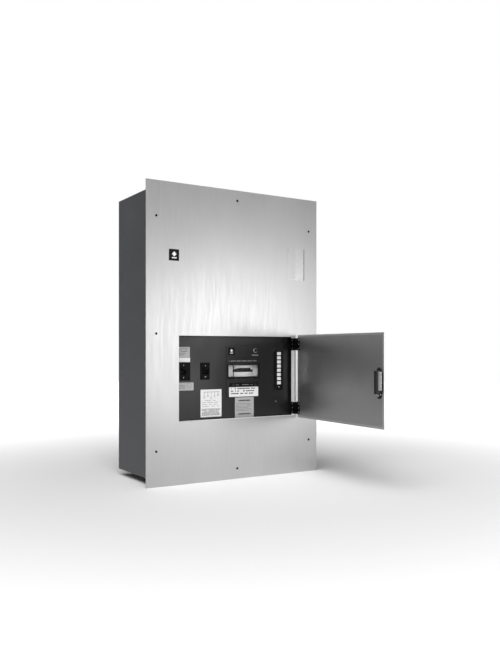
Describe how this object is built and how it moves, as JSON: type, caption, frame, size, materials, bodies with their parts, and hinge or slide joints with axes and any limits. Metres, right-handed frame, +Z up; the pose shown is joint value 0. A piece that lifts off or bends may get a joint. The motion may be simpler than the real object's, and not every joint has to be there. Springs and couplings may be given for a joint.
{
  "type": "flush panelboard enclosure",
  "caption": "Flush wall panel: stainless trim on a deep steel box, with a hinged latching door over breakers, an isolation monitor and circuit lamps.",
  "frame": {"origin": "centre of the back box's outer back face, where it meets the wall framing", "axes": "+X to the right seen from the front, +Y out of the back into the wall, +Z up; the front faces -Y"},
  "size_m": [0.768, 0.8727, 1.118],
  "materials": {
    "trim_steel": "brushed stainless steel, satin",
    "nameplate_steel": "brushed stainless steel, satin",
    "box_paint": "dark grey baked enamel, satin",
    "dead_front_paint": "charcoal grey enamel, satin",
    "black_steel": "black oxide steel, satin",
    "zinc_steel": "zinc plated sheet steel",
    "breaker_plastic": "black moulded thermoset, fine matt",
    "bezel_plastic": "black moulded plastic, semi-gloss",
    "latch_plastic": "black moulded nylon, satin",
    "paddle_metal": "black powder-coated zinc casting",
    "bright_steel": "bright nickel-plated steel",
    "white_print": "white printed card, matt",
    "grey_print": "grey printed card, matt",
    "window_clear": "clear acrylic",
    "pointer_black": "matt black pointer",
    "lamp_white": "milky white acrylic lens",
    "button_plastic": "black moulded button",
    "jamb_steel": "bare satin steel, finer than the trim",
    "core_iron": "varnished steel laminations",
    "coil_wrap": "varnished insulating wrap",
    "lead_sleeve": "black sleeving",
    "bus_copper": "bare copper bar"
  },
  "bodies": {
    "enclosure": {"back_box": "box_paint", "front_trim": "trim_steel", "door_jamb": "jamb_steel", "badge": "bezel_plastic", "nameplate": "nameplate_steel", "trim_screw_1": "black_steel", "trim_screw_2": "black_steel", "trim_screw_3": "black_steel", "trim_screw_4": "black_steel", "trim_screw_5": "black_steel", "trim_screw_6": "black_steel", "trim_screw_7": "black_steel", "trim_screw_8": "black_steel", "dead_front": "dead_front_paint", "interior_bracket_left": "zinc_steel", "interior_bracket_right": "zinc_steel", "breaker_pan": "zinc_steel", "circuit_label": "white_print", "warning_label": "grey_print", "main_breaker_case": "breaker_plastic", "branch_breaker_case": "breaker_plastic", "monitor_chassis": "zinc_steel", "monitor_faceplate": "dead_front_paint", "monitor_label": "white_print", "meter_window": "window_clear", "meter_scale": "white_print", "meter_movement": "core_iron", "status_lamp": "lamp_white", "indicator_bezel": "bezel_plastic", "indicator_lens_1": "lamp_white", "indicator_lens_2": "lamp_white", "indicator_lens_3": "lamp_white", "indicator_lens_4": "lamp_white", "indicator_lens_5": "lamp_white", "indicator_lens_6": "lamp_white", "indicator_lens_7": "lamp_white", "indicator_lens_8": "lamp_white", "transformer_core": "core_iron", "transformer_coil": "coil_wrap", "transformer_bracket_lower": "zinc_steel", "transformer_bracket_upper": "zinc_steel", "transformer_leads": "lead_sleeve", "ground_bus": "bus_copper", "terminal_block": "breaker_plastic", "hinge_frame_leaf_upper": "black_steel", "hinge_frame_leaf_lower": "black_steel", "hinge_pin_upper": "zinc_steel", "hinge_pin_lower": "zinc_steel"},
    "door": {"door_panel": "trim_steel", "latch_housing": "latch_plastic", "hinge_door_leaf_upper": "black_steel", "hinge_door_leaf_lower": "black_steel"},
    "main_breaker_handle": {"main_breaker_handle": "breaker_plastic"},
    "branch_breaker_handle": {"branch_breaker_handle": "breaker_plastic"},
    "meter_pointer": {"meter_pointer": "pointer_black"},
    "test_button": {"test_button": "button_plastic"},
    "silence_button": {"silence_button": "button_plastic"},
    "latch_paddle": {"latch_paddle": "paddle_metal"},
    "latch_tongue": {"latch_tongue": "bright_steel"},
    "lock_cylinder": {"lock_cylinder": "bright_steel"}
  },
  "joints": [
    {"name": "door_hinge", "type": "hinge", "parent": "enclosure", "child": "door", "pos_m": [0.283, -0.3292, 0], "axis": [0, 0, 1], "range_deg": [-87.5, 32.5]},
    {"name": "paddle_pivot", "type": "hinge", "parent": "door", "child": "latch_paddle", "pos_m": [0.26163, -0.83925, -0.164], "axis": [0, 0, 1], "range_deg": [0, 30]},
    {"name": "tongue_slide", "type": "slide", "parent": "door", "child": "latch_tongue", "axis": [0.0436, 0.999, 0], "range_m": [0, 0.007], "stiffness_N_per_m": 300},
    {"name": "lock_turn", "type": "hinge", "parent": "door", "child": "lock_cylinder", "pos_m": [0.26114, -0.84824, -0.217], "axis": [-0.999, 0.0436, 0], "range_deg": [0, 90]},
    {"name": "main_breaker_toggle", "type": "hinge", "parent": "enclosure", "child": "main_breaker_handle", "pos_m": [-0.214, -0.272, -0.1405], "axis": [1, 0, 0], "range_deg": [0, 40]},
    {"name": "branch_breaker_toggle", "type": "hinge", "parent": "enclosure", "child": "branch_breaker_handle", "pos_m": [-0.121, -0.272, -0.141], "axis": [1, 0, 0], "range_deg": [0, 40]},
    {"name": "pointer_swing", "type": "hinge", "parent": "enclosure", "child": "meter_pointer", "pos_m": [0.058, -0.171, -0.1425], "axis": [0, 0, 1], "range_deg": [0, 47], "stiffness_Nm_per_rad": 0.002},
    {"name": "test_press", "type": "slide", "parent": "enclosure", "child": "test_button", "axis": [0, 1, 0], "range_m": [0, 0.003], "stiffness_N_per_m": 300},
    {"name": "silence_press", "type": "slide", "parent": "enclosure", "child": "silence_button", "axis": [0, 1, 0], "range_m": [0, 0.003], "stiffness_N_per_m": 300}
  ],
  "couplings": [
    {"joint": "paddle_pivot", "follows": "tongue_slide", "rad_per_m": 74.7}
  ]
}
